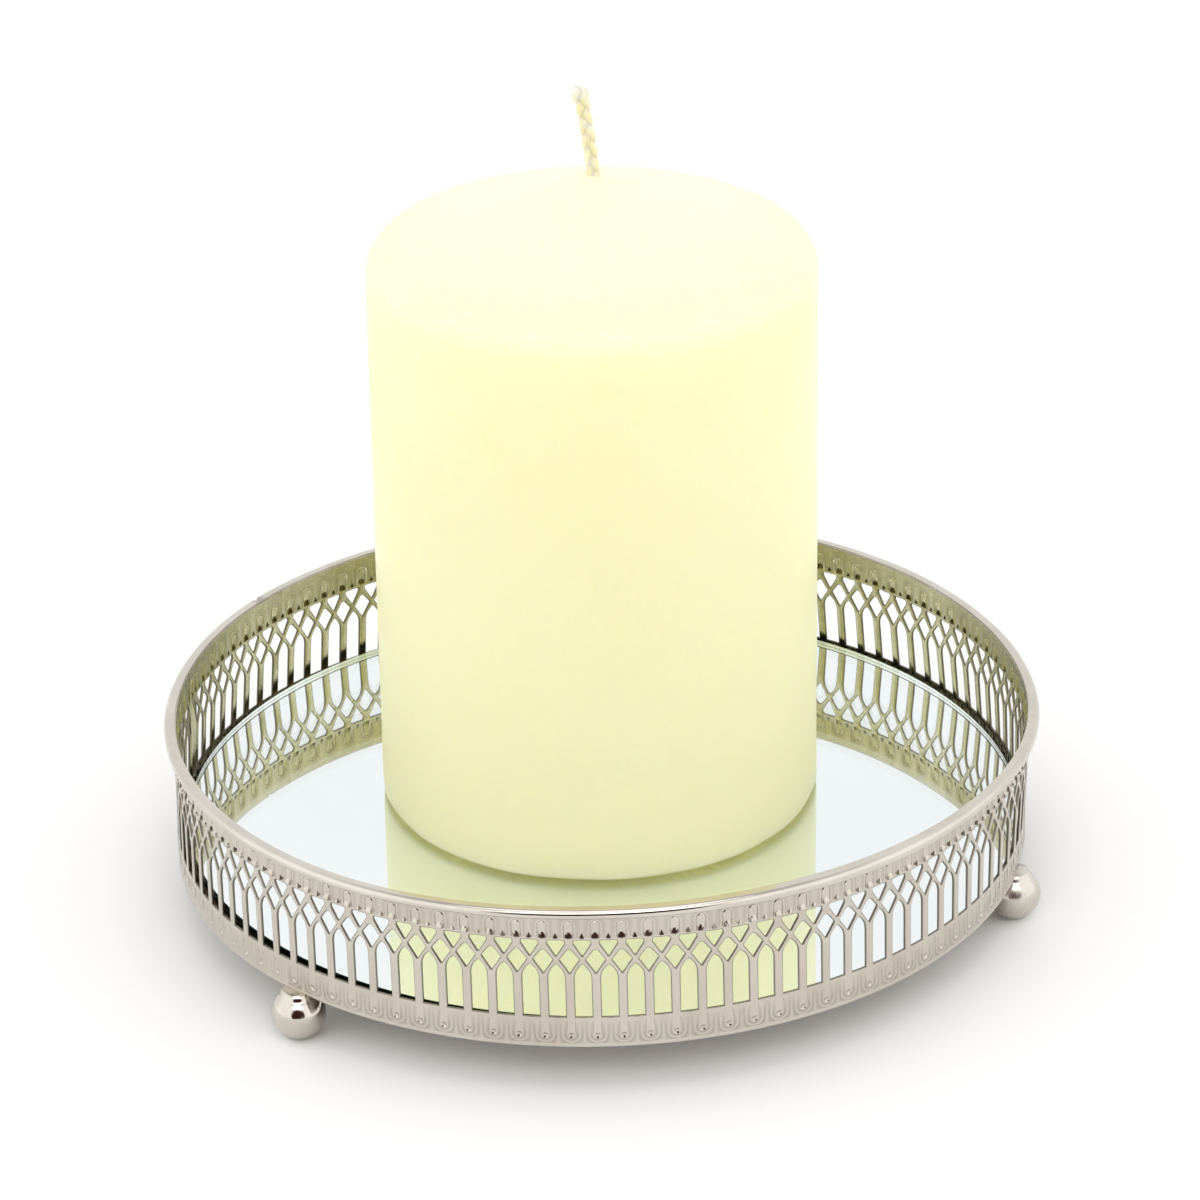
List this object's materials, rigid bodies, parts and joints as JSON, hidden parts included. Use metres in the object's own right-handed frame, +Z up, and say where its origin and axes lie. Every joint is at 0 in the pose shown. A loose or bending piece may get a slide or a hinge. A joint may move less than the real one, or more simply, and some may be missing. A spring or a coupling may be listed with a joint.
{
  "type": "candle plate",
  "caption": "Round mirrored candle plate with a pierced arcade gallery on small ball feet, carrying a pillar candle that lifts off.",
  "frame": {"origin": "on the surface the plate stands on, under the middle of the tray", "axes": "+Z up, +X to the right and -Y towards the front, as the plate is seen in the picture"},
  "size_m": [0.16, 0.16, 0.1538],
  "materials": {
    "nickel": "bright nickel plate on stamped sheet, with light scuffs",
    "board": "raw fibreboard",
    "tape": "foam tape",
    "mirror": "silvered glass, edges ground",
    "wax": "smooth ivory wax with a soft sheen",
    "wick": "waxed cotton braid"
  },
  "bodies": {
    "tray": {"base_pan": "nickel", "backing_board": "board", "mirror_tape": "tape", "mirror_glass": "mirror", "gallery_strip": "nickel", "rim_binding": "nickel", "ball_foot_left": "nickel", "ball_foot_right": "nickel", "ball_foot_rear": "nickel"},
    "candle": {"candle_wax": "wax", "candle_wick": "wick"}
  },
  "joints": [
    {"name": "candle_lift", "type": "slide", "parent": "tray", "child": "candle", "axis": [0, 0, 1], "range_m": [0, 0.04]}
  ]
}
